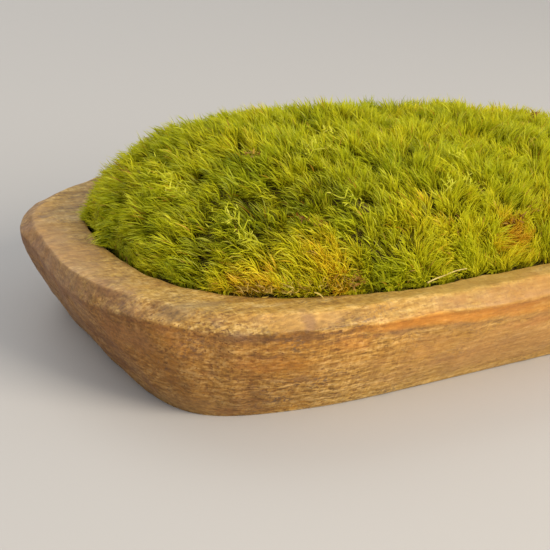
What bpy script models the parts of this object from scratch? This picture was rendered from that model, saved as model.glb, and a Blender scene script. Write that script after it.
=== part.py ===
"""Moss clump in a carved wooden dough bowl: two solids in metres, +Z up.

The bowl is one block of wood with a broad flat rim, a chamfer that flares out below it and a wall
that slopes in to a flat foot. The moss is one cushion that fills the hollow and domes over the rim.
X runs along the bowl, and the origin is the middle of the foot on the surface it stands on.
"""

import math

import bmesh
import bpy

# Points around every outline.
SEGMENTS = 96

# Outlines of the bowl: half length, half width and squareness (2 is an ellipse, more is squarer).
FOOT_OUTLINE = (0.2014, 0.1152, 4.6)
RIDGE_OUTLINE = (0.2361, 0.1380, 2.95)
RIM_OUTLINE = (0.2305, 0.1303, 2.95)
MOUTH_OUTLINE = (0.2001, 0.1159, 2.81)
FLOOR_OUTLINE = (0.1480, 0.0720, 2.40)

# Heights of the bowl.
BOWL_HEIGHT = 0.0650
RIDGE_DROP = 0.0079
MOUTH_DROP = 0.0006
RIM_END_RISE = 0.0027
FLOOR_HEIGHT = 0.0170
FOOT_EDGE = 0.0012

# Rings of the sloping walls, and how far each wall bows away from a straight slope.
OUTER_WALL_RINGS = 6
OUTER_WALL_BOW = 0.0030
INNER_WALL_RINGS = 6
INNER_WALL_BOW = 0.0110

# The moss keeps this far from the wood all over.
CLEARANCE = 0.0003

# The moss dome: its rise over the mouth, the sharpness of its shoulder, how full it is,
# and how its height changes along and across the bowl.
DOME_RISE = 0.0538
DOME_SHOULDER = 3.70
DOME_FULLNESS = 0.87
DOME_LENGTHWISE_SLOPE = -0.24
DOME_CROSSWISE_SLOPE = 0.12
DOME_END_LIFT = 0.40
DOME_RINGS = (0.995, 0.98, 0.95, 0.90, 0.84, 0.76, 0.66, 0.54, 0.40, 0.25, 0.10)


def clear_scene() -> None:
    """Remove every object of the open scene."""
    for leftover in list(bpy.data.objects):
        bpy.data.objects.remove(leftover, do_unlink=True)


def mix(start: float, end: float, share: float) -> float:
    """Value that lies the given share of the way from start to end."""
    return start + (end - start) * share


def mix_outline(start: tuple, end: tuple, share: float) -> tuple:
    """Outline that lies the given share of the way between two outlines."""
    return tuple(mix(a, b, share) for a, b in zip(start, end))


def grow_outline(outline: tuple, amount: float) -> tuple:
    """Outline moved outward by an amount, or inward by a negative one."""
    half_length, half_width, squareness = outline
    return (half_length + amount, half_width + amount, squareness)


def outline_point(outline: tuple, angle: float) -> tuple:
    """X and Y of a superellipse outline at an angle."""
    half_length, half_width, squareness = outline
    cosine = math.cos(angle)
    sine = math.sin(angle)
    power = 2.0 / squareness
    x = half_length * math.copysign(abs(cosine) ** power, cosine)
    y = half_width * math.copysign(abs(sine) ** power, sine)
    return x, y


def rim_rise(x: float) -> float:
    """How much higher the rim stands at x than at the middle of the bowl."""
    return RIM_END_RISE * (x / RIM_OUTLINE[0]) ** 2


def dome_height(x: float, y: float, ring: float) -> float:
    """Height of the moss over the mouth, on the ring that lies at this share of the way out."""
    rise = DOME_RISE * max(0.0, 1.0 - ring ** DOME_SHOULDER) ** DOME_FULLNESS
    along = x / MOUTH_OUTLINE[0]
    across = y / MOUTH_OUTLINE[1]
    tilt = 1.0 + DOME_LENGTHWISE_SLOPE * along + DOME_CROSSWISE_SLOPE * across
    return rise * (tilt + DOME_END_LIFT * along ** 2)


def ring_points(outline: tuple, height, share: float = 1.0) -> list:
    """Points of one ring.

    Args:
        outline: Half length, half width and squareness.
        height: Function of x and y that gives z.
        share: Scale of the ring about the middle.

    Returns:
        One (x, y, z) for each of the SEGMENTS points.
    """
    points = []
    for index in range(SEGMENTS):
        x, y = outline_point(outline, 2.0 * math.pi * index / SEGMENTS)
        x *= share
        y *= share
        points.append((x, y, height(x, y)))
    return points


def lofted_body(rings: list) -> bmesh.types.BMesh:
    """Closed body through rings of points, capped at both ends.

    Args:
        rings: Lists of points, from the lowest ring on the outside to the last ring inside.

    Returns:
        A bmesh made of one disc that is extruded once for each further ring.
    """
    body = bmesh.new()
    bmesh.ops.create_circle(body, cap_ends=True, segments=SEGMENTS, radius=1.0)
    body.verts.ensure_lookup_table()
    base = sorted(body.verts, key=lambda vert: math.atan2(vert.co.y, vert.co.x) % (2.0 * math.pi))
    for vert, point in zip(base, rings[0]):
        vert.co = point
    loop = [body.edges.get((base[index - 1], base[index])) for index in range(SEGMENTS)]
    order = base
    for ring in rings[1:]:
        before = {vert: place for place, vert in enumerate(order)}
        made = bmesh.ops.extrude_edge_only(body, edges=loop)["geom"]
        fresh = [item for item in made if isinstance(item, bmesh.types.BMVert)]
        next_order = [None] * SEGMENTS
        for vert in fresh:
            partner = next(edge.other_vert(vert) for edge in vert.link_edges
                           if edge.other_vert(vert) in before)
            next_order[before[partner]] = vert
        for vert, point in zip(next_order, ring):
            vert.co = point
        order = next_order
        loop = [body.edges.get((order[index - 1], order[index])) for index in range(SEGMENTS)]
    body.faces.new(order)
    bmesh.ops.recalc_face_normals(body, faces=body.faces[:])
    return body


def inner_wall_outline(share: float) -> tuple:
    """Outline of the hollow at a share of the way down from the mouth to the floor."""
    bow = INNER_WALL_BOW * math.sin(math.pi * share)
    return grow_outline(mix_outline(MOUTH_OUTLINE, FLOOR_OUTLINE, share ** 1.35), bow)


def inner_wall_height(share: float):
    """Height function of the hollow's wall at a share of the way down."""
    def height(x: float, y: float) -> float:
        top = BOWL_HEIGHT - MOUTH_DROP + rim_rise(x)
        return mix(top, FLOOR_HEIGHT, share)
    return height


def bowl_rings() -> list:
    """Rings of the bowl, up its outside, over the rim and down into the hollow."""
    rings = [ring_points(grow_outline(FOOT_OUTLINE, -FOOT_EDGE), lambda x, y: 0.0)]
    for index in range(OUTER_WALL_RINGS + 1):
        share = index / OUTER_WALL_RINGS
        bow = OUTER_WALL_BOW * math.sin(math.pi * share)
        outline = grow_outline(mix_outline(FOOT_OUTLINE, RIDGE_OUTLINE, share), bow)

        def height(x: float, y: float, part: float = share) -> float:
            ridge = BOWL_HEIGHT - RIDGE_DROP + rim_rise(x)
            return mix(FOOT_EDGE, ridge, part)

        rings.append(ring_points(outline, height))
    rings.append(ring_points(RIM_OUTLINE, lambda x, y: BOWL_HEIGHT + rim_rise(x)))
    for index in range(INNER_WALL_RINGS + 1):
        share = index / INNER_WALL_RINGS
        rings.append(ring_points(inner_wall_outline(share), inner_wall_height(share)))
    return rings


def moss_rings() -> list:
    """Rings of the moss, up the wall of the hollow and over the dome."""
    rings = []
    for index in range(INNER_WALL_RINGS, -1, -1):
        share = index / INNER_WALL_RINGS
        outline = grow_outline(inner_wall_outline(share), -2.0 * CLEARANCE)
        wall = inner_wall_height(share)

        def height(x: float, y: float, base=wall) -> float:
            return base(x, y) + CLEARANCE

        rings.append(ring_points(outline, height))
    dome_outline = grow_outline(MOUTH_OUTLINE, -2.0 * CLEARANCE)
    for share in DOME_RINGS:
        def crown(x: float, y: float, ring: float = share) -> float:
            return BOWL_HEIGHT - MOUTH_DROP + CLEARANCE + rim_rise(x) + dome_height(x, y, ring)

        rings.append(ring_points(dome_outline, crown, share))
    return rings


def make_material(name: str, colour: tuple, roughness: float) -> bpy.types.Material:
    """Plain Principled material of one colour and roughness."""
    material = bpy.data.materials.new(name)
    material.use_nodes = True
    shader = material.node_tree.nodes["Principled BSDF"]
    shader.inputs["Base Color"].default_value = (*colour, 1.0)
    shader.inputs["Roughness"].default_value = roughness
    shader.inputs["Metallic"].default_value = 0.0
    return material


def make_object(name: str, body: bmesh.types.BMesh, material: bpy.types.Material) -> bpy.types.Object:
    """Object with this body and material, shaded smooth with its carved edges kept sharp."""
    mesh = bpy.data.meshes.new(name)
    body.to_mesh(mesh)
    body.free()
    mesh.materials.append(material)
    mesh.shade_smooth()
    mesh.set_sharp_from_angle(angle=math.radians(32.0))
    made = bpy.data.objects.new(name, mesh)
    bpy.context.scene.collection.objects.link(made)
    return made


def main() -> None:
    """Build the bowl and the moss that it holds."""
    clear_scene()
    oiled_wood = make_material("carved_wood", (0.43, 0.25, 0.085), 0.62)
    moss_green = make_material("moss", (0.27, 0.28, 0.012), 0.85)
    bowl = make_object("dough_bowl", lofted_body(bowl_rings()), oiled_wood)
    moss = make_object("moss_clump", lofted_body(moss_rings()), moss_green)
    moss.parent = bowl


main()
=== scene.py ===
"""Looks of a moss clump that fills a hand-carved wooden dough bowl and domes over its rim.

Everything is in metres, +Z up, with X along the bowl. The bowl is one carved block; the moss is a
matted cushion with leafy shoots all over it, a few paler branching sprigs, a dry straw and some
dead leaf bits.
"""

import logging
import math
from dataclasses import dataclass
from enum import Enum
from functools import partial
from typing import Callable

import bmesh
import bpy
import numpy as np
from mathutils import Matrix, Vector


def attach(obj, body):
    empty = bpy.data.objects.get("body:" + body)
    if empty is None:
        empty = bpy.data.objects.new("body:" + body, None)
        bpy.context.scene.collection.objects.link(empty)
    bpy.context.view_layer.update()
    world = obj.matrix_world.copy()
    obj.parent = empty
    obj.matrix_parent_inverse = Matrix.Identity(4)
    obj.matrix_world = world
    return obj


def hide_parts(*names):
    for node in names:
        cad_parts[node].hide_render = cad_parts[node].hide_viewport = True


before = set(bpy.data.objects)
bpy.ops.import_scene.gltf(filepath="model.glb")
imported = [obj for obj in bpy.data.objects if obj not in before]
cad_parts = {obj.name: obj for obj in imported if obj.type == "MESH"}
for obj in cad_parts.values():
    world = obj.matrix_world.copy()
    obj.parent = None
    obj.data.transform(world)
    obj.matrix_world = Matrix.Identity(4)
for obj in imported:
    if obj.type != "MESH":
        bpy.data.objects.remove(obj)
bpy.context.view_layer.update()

BODY = "root"
BOWL_NODE = "dough_bowl"
MOSS_NODE = "moss_clump"
LEAF_MAP = "OFBake"
PROFILE = "profile"
MM = 0.001
FULL_TURN = 2.0 * math.pi
WAVES_IN_A_SET = 28
# Settings of shader nodes that come back often.
SOFT = {"interpolation_type": "SMOOTHSTEP"}
TIMES = {"operation": "MULTIPLY"}
TIMES_PLUS = {"operation": "MULTIPLY_ADD"}

Array = np.ndarray
Socket = bpy.types.NodeSocket
AddNode = Callable[..., Socket]

log = logging.getLogger("moss_bowl")


def linear(hex_colour: str) -> tuple:
    """Turn an sRGB hex colour into linear red, green and blue.

    Args:
        hex_colour: Colour such as "#a0b040".

    Returns:
        The three linear numbers and an alpha of 1.
    """
    parts = [int(hex_colour[place:place + 2], 16) / 255.0 for place in (1, 3, 5)]
    curve = [part / 12.92 if part <= 0.04045 else ((part + 0.055) / 1.055) ** 2.4 for part in parts]
    return (*curve, 1.0)


def add_node(tree: bpy.types.NodeTree, kind: str, inputs: tuple | dict = (), stops: tuple = (),
             result: int | str = 0, **settings) -> Socket:
    """Add a shader node with its settings, input values, links and colour stops.

    Args:
        tree: Node tree that gets the node.
        kind: Node type without its "ShaderNode" prefix.
        inputs: Sockets and plain values, in the order of the node's inputs or by input.
        stops: Place and hex colour of each colour ramp stop.
        result: Name or number of the output that is used.
        settings: Properties of the node.

    Returns:
        The output, or None from a node without outputs.
    """
    node = tree.nodes.new("ShaderNode" + kind)
    for name, value in settings.items():
        setattr(node, name, value)
    named = inputs if isinstance(inputs, dict) else dict(enumerate(inputs))
    for key, value in named.items():
        if isinstance(value, Socket):
            tree.links.new(value, node.inputs[key])
        else:
            node.inputs[key].default_value = value
    if stops:
        ramp = node.color_ramp
        while len(ramp.elements) < len(stops):
            ramp.elements.new(0.5)
        for element, (place, colour) in zip(ramp.elements, stops):
            element.position = place
            element.color = linear(colour)
    return node.outputs[result] if node.outputs else None


def smooth_step(values: Array, start: float, end: float) -> Array:
    """Soft step from 0 at start to 1 at end."""
    share = np.clip((values - start) / (end - start), 0.0, 1.0)
    return share * share * (3.0 - 2.0 * share)


def unit(vectors: Array) -> Array:
    """Scale each row to a length of 1."""
    return vectors / np.maximum(np.linalg.norm(vectors, axis=-1, keepdims=True), 1e-12)


def spot(places: Array, x: float, y: float, radius: float, stretch: float = 1.0) -> Array:
    """Weight of 1 at a spot that fades over its radius, and further along X with a stretch."""
    gap = ((places[..., 0] - x) / stretch) ** 2 + (places[..., 1] - y) ** 2
    return np.exp(-gap / radius ** 2)


def ripples(places: Array, *waves: tuple) -> Array:
    """Smooth seeded random swell made of plane waves, with a mean of 0.

    Args:
        places: Places, with their coordinates last.
        waves: Height, seed and typical wavelength of each set of waves.

    Returns:
        The swell at each place.
    """
    total = 0.0
    for height, seed, wavelength in waves:
        rng = np.random.default_rng(seed)
        directions = unit(rng.normal(size=(WAVES_IN_A_SET, places.shape[-1])))
        lengths = wavelength * rng.uniform(0.7, 1.7, WAVES_IN_A_SET)
        vectors = directions * (FULL_TURN / lengths)[:, None]
        phases = rng.uniform(0.0, FULL_TURN, WAVES_IN_A_SET)
        crests = np.sin(places @ vectors.T + phases).sum(-1)
        total = total + height * math.sqrt(2.0 / WAVES_IN_A_SET) * crests
    return total


@dataclass(frozen=True)
class Outline:
    """Superellipse: 2 is an ellipse, and a larger squareness is a fuller corner."""

    half_length: float
    half_width: float
    squareness: float

    def points(self, angles: Array) -> Array:
        """Walk round the outline.

        Args:
            angles: Angles to stop at.

        Returns:
            X and Y at each angle.
        """
        cosine, sine = np.cos(angles), np.sin(angles)
        power = 2.0 / self.squareness
        x = self.half_length * np.sign(cosine) * np.abs(cosine) ** power
        y = self.half_width * np.sign(sine) * np.abs(sine) ** power
        return np.stack([x, y], -1)

    def share(self, x: Array, y: Array) -> Array:
        """How far out each place lies: 0 in the middle and 1 on the outline."""
        power = self.squareness
        total = np.abs(x / self.half_length) ** power + np.abs(y / self.half_width) ** power
        return total ** (1.0 / power)

    def moved(self, amount: float) -> "Outline":
        """The outline moved outward by an amount."""
        return Outline(self.half_length + amount, self.half_width + amount, self.squareness)

    def mixed(self, other: "Outline", part: float) -> "Outline":
        """Outline that lies a part of the way to another."""
        return Outline(
            self.half_length + (other.half_length - self.half_length) * part,
            self.half_width + (other.half_width - self.half_width) * part,
            self.squareness + (other.squareness - self.squareness) * part,
        )

    def even_angles(self, count: int) -> Array:
        """Angles whose points lie evenly along the outline, from 0 to a full turn.

        Args:
            count: Number of steps round the outline.

        Returns:
            One angle more than count, the last at the same point as the first.
        """
        dense = np.linspace(0.0, FULL_TURN, 24001)
        steps = np.linalg.norm(np.diff(self.points(dense), axis=0), axis=1)
        run = np.concatenate([[0.0], np.cumsum(steps)])
        return np.interp(np.linspace(0.0, run[-1], count + 1), run, dense)


class LeafHue(Enum):
    """Places on the leaf palette, from shaded green to dead brown."""

    DEEP_GREEN = 0.02
    YELLOW_GREEN = 0.36
    AMBER = 0.83
    DEAD_BROWN = 0.97


class Finish:
    """What every finish shares. Each one has a name, and a method that wires up its shader."""

    name: str

    def build(self) -> bpy.types.Material:
        """Make the material."""
        material = bpy.data.materials.new(self.name)
        material.use_nodes = True
        material.node_tree.nodes.clear()
        add = partial(add_node, material.node_tree)
        add("OutputMaterial", (self.shader(add),))
        return material


@dataclass(frozen=True)
class LeafTissue(Finish):
    """Moss leaf: one cell thick, so light comes through it, and dull with a faint waxy shine.

    The map's first axis runs through the hues, and its second from the leaf's root to its tip:
    darker at the root, partly its browner base and partly painted shade deep in the tuft, and
    paler toward the tip, painted light, so that every leaf can have its own hue and brightness.
    """

    name: str = "moss_leaf_tissue"
    roughness: float = 0.5
    shine: float = 0.32
    light_through: float = 0.45
    hues: tuple = (
        (0.00, "#8ba01e"),
        (0.22, "#b2ba20"),
        (0.42, "#d0d024"),
        (0.6, "#e2da2a"),
        (0.76, "#ecca30"),
        (0.88, "#d8a434"),
        (1.00, "#b08c5c"),
    )
    # Painted shade and light: dark at the leaf's root, deep in the tuft, up to pale at its tip, over
    # the leaf's browner base.
    lights: tuple = (
        (0.00, "#7f6d40"),
        (0.22, "#b2a46a"),
        (0.48, "#dad4a4"),
        (0.74, "#f4f2d4"),
        (1.00, "#fffff8"),
    )

    def shader(self, add: AddNode) -> Socket:
        """Multiply hue and light, and let some of the light through.

        Args:
            add: Adds a node to the material.

        Returns:
            The shader.
        """
        leaf_map = add("UVMap", uv_map=LEAF_MAP)
        across, along = (add("SeparateXYZ", (leaf_map,), result=axis) for axis in "XY")
        hue = add("ValToRGB", (across,), self.hues)
        light = add("ValToRGB", (along,), self.lights)
        colour = add("Mix", {0: 1.0, 6: hue, 7: light}, result=2, data_type="RGBA",
                     blend_type="MULTIPLY")
        front = add("BsdfPrincipled", {
            "Base Color": colour, "Roughness": self.roughness, "Specular IOR Level": self.shine})
        through = add("BsdfTranslucent", (colour,))
        return add("MixShader", (self.light_through, front, through))


@dataclass(frozen=True)
class DeadFibres(Finish):
    """Dead plant matter, such as felted stems or a straw: matt, fibrous and uneven in tone."""

    name: str
    tones: tuple
    fibre: float
    # Scale along X; less than 1 draws the fibres out.
    drawn_out: float
    detail: float
    unevenness: float
    relief: float
    relief_depth: float
    roughness: float
    shine: float

    def shader(self, add: AddNode) -> Socket:
        """Tone and raise the fibres.

        Args:
            add: Adds a node to the material.

        Returns:
            The shader.
        """
        along = add("Mapping", {
            "Vector": add("TexCoord", result="Object"), "Scale": (self.drawn_out, 1.0, 1.0)})
        fibres = add("TexNoise", {
            "Vector": along, "Scale": 1.0 / self.fibre, "Detail": self.detail,
            "Roughness": self.unevenness})
        bump = add("Bump", {
            "Height": fibres, "Strength": self.relief, "Distance": self.relief_depth})
        return add("BsdfPrincipled", {
            "Base Color": add("ValToRGB", (fibres,), self.tones), "Roughness": self.roughness,
            "Specular IOR Level": self.shine, "Normal": bump})


@dataclass(frozen=True)
class Stain:
    """A soft ragged patch of another colour in the wood, about an ellipsoid in shape."""

    place: tuple
    radii: tuple
    colour: str
    most: float


@dataclass
class CarvedHardwood(Finish):
    """Oiled acacia-like hardwood, carved by hand and worn: honey brown with grain along the bowl,
    fine dark pores, mottled golden and brown patches, greyish speckle and one orange streak."""

    name: str = "oiled_carved_hardwood"
    # Fibres and pores are drawn about twice as coarse as real ones, so that they stay visible.
    fibre_width: float = 1.2 * MM
    pore_width: float = 1.4 * MM
    scrape_length: float = 6.0 * MM
    speck_width: float = 1.4 * MM
    stroke_width: float = 1.5 * MM
    ring_spacing: float = 5.0 * MM
    # Spacing of the wave texture's rings at a scale of 1.
    plain_spacing: float = 0.314
    trunk_shift: tuple = (0.0, 0.035, 0.16)
    trunk_turn: tuple = (0.0, 0.03, 0.05)
    # Shares of rings, streaks, scrapes, fibres and tool strokes in the tone.
    shares: tuple = (0.07, 0.38, 0.22, 0.36, 0.4)
    middle_tone: float = 0.71
    tones: tuple = ((0.53, "#74582a"), (0.65, "#a38340"), (0.725, "#b99952"), (0.85, "#d6ba7c"))
    pore_colour: str = "#644422"
    pore_depth: float = 0.9
    crispness: float = 0.48
    # Steps: where each one starts and ends, and its value at either end. The first two make the
    # figure bold round the left corner, and calm along the front and on the rim.
    bold_along: tuple = (-0.16, -0.03, 1.45, 0.62)
    bold_upward: tuple = (0.42, 0.52, 1.12, 0.72)
    gloss: tuple = (0.3, 0.7, 0.48, 0.66)
    pore_edge: tuple = (0.55, 0.68, 0.00, 0.6)
    dusty_regions: tuple = (0.52, 0.66, 0.08, 1.00)
    dust_specks: tuple = (0.5, 0.62, 0.00, 0.6)
    streak_front: tuple = (-0.1, -0.122, 0.00, 1.00)
    streak_start: tuple = (-0.128, -0.08, 0.00, 1.00)
    streak_fade: tuple = (-0.06, 0.02, 1.00, 0.45)
    # Painted shade: the next two steps darken the wall below the ridge to a browner tone at the left
    # end and round its corners, and the chamfer and rim a little, on the end that faces away from the
    # light.
    painted_shade_left_end: tuple = (-0.2, -0.09, 1.00, 0.00)
    painted_shade_below_ridge: tuple = (0.44, 0.425, 0.12, 0.5)
    worn_end: tuple = (-0.18, -0.23, 0.00, 1.00)
    worn_edge: tuple = (0.5, 0.48, 0.1, 0.55)
    worn_patches: tuple = (0.36, 0.6, 0.1, 1.00)
    # Width and stretch of each kind of patch, its step and its colour.
    mottles: tuple = (
        (26.0 * MM, 0.4, (0.48, 0.66, 0.00, 0.45), "#b3842f"),
        (13.0 * MM, 0.3, (0.52, 0.68, 0.00, 0.5), "#74542a"),
        (6.0 * MM, 0.35, (0.54, 0.7, 0.00, 0.46), "#86694a"),
    )
    # How much the streak climbs along the bowl, and how ragged it is.
    streak_climb: float = 0.16
    streak_raggedness: float = 0.085
    # Where each band of the streak starts, is full, is still full and ends, and its colour.
    bands: tuple = (
        ((0.396, 0.428, 0.442, 0.474), 0.58, "#dc9c3e"),
        ((0.455, 0.459, 0.46, 0.464), 0.28, "#7a5230"),
        ((0.372, 0.388, 0.398, 0.412), 0.22, "#8d755c"),
    )
    # Tones along the profile: foot, wall, ridge, chamfer, rim and hollow. The dark step just under
    # the ridge is painted shade, the pale lines on the ridge and on the rim's edge are painted
    # highlights, the foot's edge is paler and the hollow darker.
    zones: tuple = (
        (0.036, "#ffffff"), (0.046, "#fbf2e2"), (0.1, "#eee0ce"), (0.2, "#f4e2cc"),
        (0.38, "#f2dcc0"), (0.418, "#dcc3a4"), (0.43, "#fff6e6"), (0.44, "#efe3cc"),
        (0.48, "#ecdfc8"), (0.497, "#fff6e2"), (0.52, "#f3ecda"), (0.615, "#eee6d2"),
        (0.66, "#8f8373"))
    stain_edge: tuple = (1.5, 2.45)
    stain_raggedness: float = 2.4
    stains: tuple = (
        Stain((-0.23, 0.01, 0.068), (0.026, 0.13, 0.016), "#a3845f", 0.58),
        Stain((-0.238, 0.000, 0.058), (0.012, 0.1, 0.01), "#a3856a", 0.62),
        Stain((-0.2163, 0.0578, 0.0673), (0.0045, 0.0035, 0.006), "#6e5a48", 0.6),
        Stain((-0.223, -0.0617, 0.065), (0.012, 0.022, 0.005), "#74543e", 0.5),
        Stain((-0.199, -0.093, 0.066), (0.026, 0.01, 0.006), "#83745a", 0.52),
        Stain((-0.176, -0.114, 0.0548), (0.02, 0.012, 0.0032), "#54473c", 0.72),
        Stain((-0.145, -0.125, 0.0545), (0.024, 0.012, 0.002), "#6b5846", 0.4),
        Stain((-0.145, -0.1235, 0.0625), (0.03, 0.012, 0.0044), "#cba563", 0.6),
        Stain((-0.22, -0.072, 0.046), (0.016, 0.026, 0.0085), "#bb9562", 0.75),
        Stain((-0.222, -0.04, 0.034), (0.014, 0.032, 0.008), "#553623", 0.5),
        Stain((-0.1387, -0.1233, 0.0615), (0.0042, 0.008, 0.007), "#86665a", 0.45),
        Stain((-0.21, -0.05, 0.021), (0.016, 0.026, 0.006), "#54301f", 0.62),
        Stain((-0.19, -0.088, 0.007), (0.03, 0.03, 0.008), "#b79d6c", 0.5),
        Stain((-0.156, -0.116, 0.039), (0.03, 0.014, 0.006), "#ad7428", 0.45),
        Stain((-0.113, -0.133, 0.046), (0.022, 0.014, 0.006), "#c0873a", 0.38),
        Stain((-0.172, -0.104, 0.005), (0.01, 0.012, 0.004), "#7a4a26", 0.5),
        Stain((-0.0834, -0.1332, 0.0502), (0.014, 0.01, 0.0026), "#7d6448", 0.5),
        Stain((0.02, -0.1308, 0.038), (0.03, 0.012, 0.004), "#a8672c", 0.4),
        Stain((0.03, -0.137, 0.059), (0.11, 0.014, 0.012), "#a87a3c", 0.66),
        Stain((0.02, -0.128, 0.024), (0.12, 0.03, 0.026), "#b38d62", 0.4),
    )

    def shader(self, add: AddNode) -> Socket:
        """Lay the layers of the wood one over another.

        Args:
            add: Adds a node to the material.

        Returns:
            The shader.
        """
        self.add = add
        self.place = add("TexCoord", result="Object")
        self.x, self.y = (add("SeparateXYZ", (self.place,), result=axis) for axis in "XY")
        self.profile = add("Attribute", result="Fac", attribute_name=PROFILE)
        self.bold = add("Math", (
            add("MapRange", (self.x, *self.bold_along), **SOFT),
            add("MapRange", (self.profile, *self.bold_upward))), **TIMES)
        relief = self.grain()
        self.mottle()
        self.stain()
        self.streak()
        self.tones_wear_and_painted_light()
        self.crisp()
        bump = add("Bump", {"Height": relief, "Strength": 0.6, "Distance": 0.3 * MM})
        sheen = self.noise(25.0 * MM, 1.0, 3.0, 0.5)
        return add("BsdfPrincipled", {
            "Base Color": self.colour, "Roughness": add("MapRange", (sheen, *self.gloss)),
            "Specular IOR Level": 0.32, "Normal": bump})

    def noise(self, width: float, along: float, detail: float, roughness: float,
              across: float = 1.0, place: Socket = None, shift: tuple = (0.0, 0.0, 0.0)) -> Socket:
        """Noise drawn out along the grain.

        Args:
            width: Width of a patch in metres.
            along: Scale along X; less than 1 draws the patches out.
            detail: Number of finer layers.
            roughness: Strength of the finer layers.
            across: Scale along Y.
            place: Coordinates, or None for the bowl's own.
            shift: How far the pattern is moved.

        Returns:
            The noise.
        """
        drawn = self.add("Mapping", {
            "Vector": place or self.place, "Location": shift, "Scale": (along, across, 1.0)})
        return self.add("TexNoise", {
            "Vector": drawn, "Scale": 1.0 / width, "Detail": detail, "Roughness": roughness})

    def lay(self, tint: str | Socket, *amounts: Socket, blend: str = "MIX") -> None:
        """Lay a tint over the colour, as strongly as all of the amounts multiplied.

        Args:
            tint: Hex colour or colour socket.
            amounts: Strengths from 0 to 1.
            blend: How the tint mixes with the colour under it.
        """
        amount = amounts[0]
        for factor in amounts[1:]:
            amount = self.add("Math", (amount, factor), **TIMES)
        over = tint if isinstance(tint, Socket) else linear(tint)
        self.colour = self.add("Mix", {0: amount, 6: self.colour, 7: over}, result=2,
                               data_type="RGBA", blend_type=blend)

    def grain(self) -> Socket:
        """Start the colour with rings, streaks, scrape marks, fibres, tool strokes and pores.

        Returns:
            Height of the surface.
        """
        trunk = self.add("Mapping", {
            "Vector": self.place, "Location": self.trunk_shift, "Rotation": self.trunk_turn})
        long_way = self.add("Mapping", {"Vector": trunk, "Scale": (0.1, 1.0, 1.0)})
        rings = self.add("TexWave", {
            "Vector": long_way, "Scale": self.plain_spacing / self.ring_spacing,
            "Distortion": 12.0, "Detail": 4.0, "Detail Scale": 0.25, "Detail Roughness": 0.65},
            result="Fac", wave_type="RINGS", rings_direction="X", wave_profile="SIN")
        figures = (
            rings,
            self.noise(9.0 * MM, 0.1, 6.0, 0.7, place=trunk),
            self.noise(self.scrape_length, 5.0, 2.0, 0.6),
            self.noise(self.fibre_width, 0.16, 3.0, 0.65, place=trunk),
            self.noise(self.stroke_width, 0.28, 2.0, 0.55, across=0.28),
        )
        tone = -self.middle_tone
        for figure, share in zip(figures, self.shares):
            tone = self.add("Math", (figure, share, tone), **TIMES_PLUS)
        figured = self.add("Math", (tone, self.bold, self.middle_tone), **TIMES_PLUS)
        pores = self.noise(self.pore_width, 0.4, 2.0, 0.6, place=trunk)
        pores = self.add("MapRange", (pores, *self.pore_edge))
        pores = self.add("Math", (pores, self.bold), use_clamp=True, **TIMES)
        self.colour = self.add("ValToRGB", (figured,), self.tones)
        self.lay(self.pore_colour, pores)
        return self.add("Math", (pores, -self.pore_depth, figured), **TIMES_PLUS)

    def mottle(self) -> None:
        """Lay golden and brown patches, and a greyish speckle where the oil has worn off."""
        for width, stretch, step, tint in self.mottles:
            patches = self.add("MapRange", (self.noise(width, stretch, 5.0, 0.66), *step))
            self.lay(tint, patches, self.bold)
        regions = self.noise(16.0 * MM, 0.6, 3.0, 0.6)
        specks = self.noise(self.speck_width, 0.7, 1.0, 0.5)
        self.lay("#6d5f50", self.add("MapRange", (regions, *self.dusty_regions)),
                 self.add("MapRange", (specks, *self.dust_specks)), self.bold)

    def stain(self) -> None:
        """Lay the stains on the wood, each with a ragged edge."""
        ragged = self.noise(8.0 * MM, 0.45, 5.0, 0.7)
        for stain in self.stains:
            scale = tuple(1.0 / radius for radius in stain.radii)
            shift = tuple(-centre * part for centre, part in zip(stain.place, scale))
            local = self.add("Mapping", {"Vector": self.place, "Location": shift, "Scale": scale})
            distance = self.add("VectorMath", (local,), result="Value", operation="LENGTH")
            uneven = self.add("Math", (ragged, self.stain_raggedness, distance), **TIMES_PLUS)
            self.lay(stain.colour, self.add(
                "MapRange", (uneven, *self.stain_edge, stain.most, 0.0), **SOFT))

    def streak(self) -> None:
        """Lay orange heartwood along the front edge, with a thin dark line over it."""
        reach = (
            self.add("MapRange", (self.y, *self.streak_front)),
            self.add("MapRange", (self.x, *self.streak_start), **SOFT),
            self.add("MapRange", (self.x, *self.streak_fade), **SOFT),
        )
        ragged = self.noise(14.0 * MM, 0.3, 5.0, 0.66)
        drift = self.add("Math", (self.x, self.streak_climb, self.profile), **TIMES_PLUS)
        level = self.add("Math", (ragged, self.streak_raggedness, drift), **TIMES_PLUS)
        for (start, full, still_full, end), most, tint in self.bands:
            rise = self.add("MapRange", (level, start, full, 0.0, most), **SOFT)
            fall = self.add("MapRange", (level, still_full, end, 1.0, 0.0), **SOFT)
            self.lay(tint, rise, fall, *reach)

    def tones_wear_and_painted_light(self) -> None:
        """Lay the tones of rim, chamfer and wall with painted shade and highlights along the ridge
        and the rim's edge, a browner painted shade on the left end, and a reddish worn end.
        """
        self.lay(self.add("ValToRGB", (self.profile,), self.zones), 1.0, blend="MULTIPLY")
        corner = self.add("MapRange", (self.x, *self.painted_shade_left_end), **SOFT)
        under_ridge = self.add("MapRange", (self.profile, *self.painted_shade_below_ridge))
        # Painted shade in a darker brown, on the left end that faces away from the light.
        self.lay("#7c4e1c", corner, under_ridge)
        end = self.add("MapRange", (self.x, *self.worn_end), **SOFT)
        edge = self.add("MapRange", (self.profile, *self.worn_edge))
        patches = self.noise(14.0 * MM, 0.8, 5.0, 0.7)
        patches = self.add("MapRange", (patches, *self.worn_patches))
        self.lay("#c8ac9e", end, edge, patches, blend="MULTIPLY")

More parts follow.
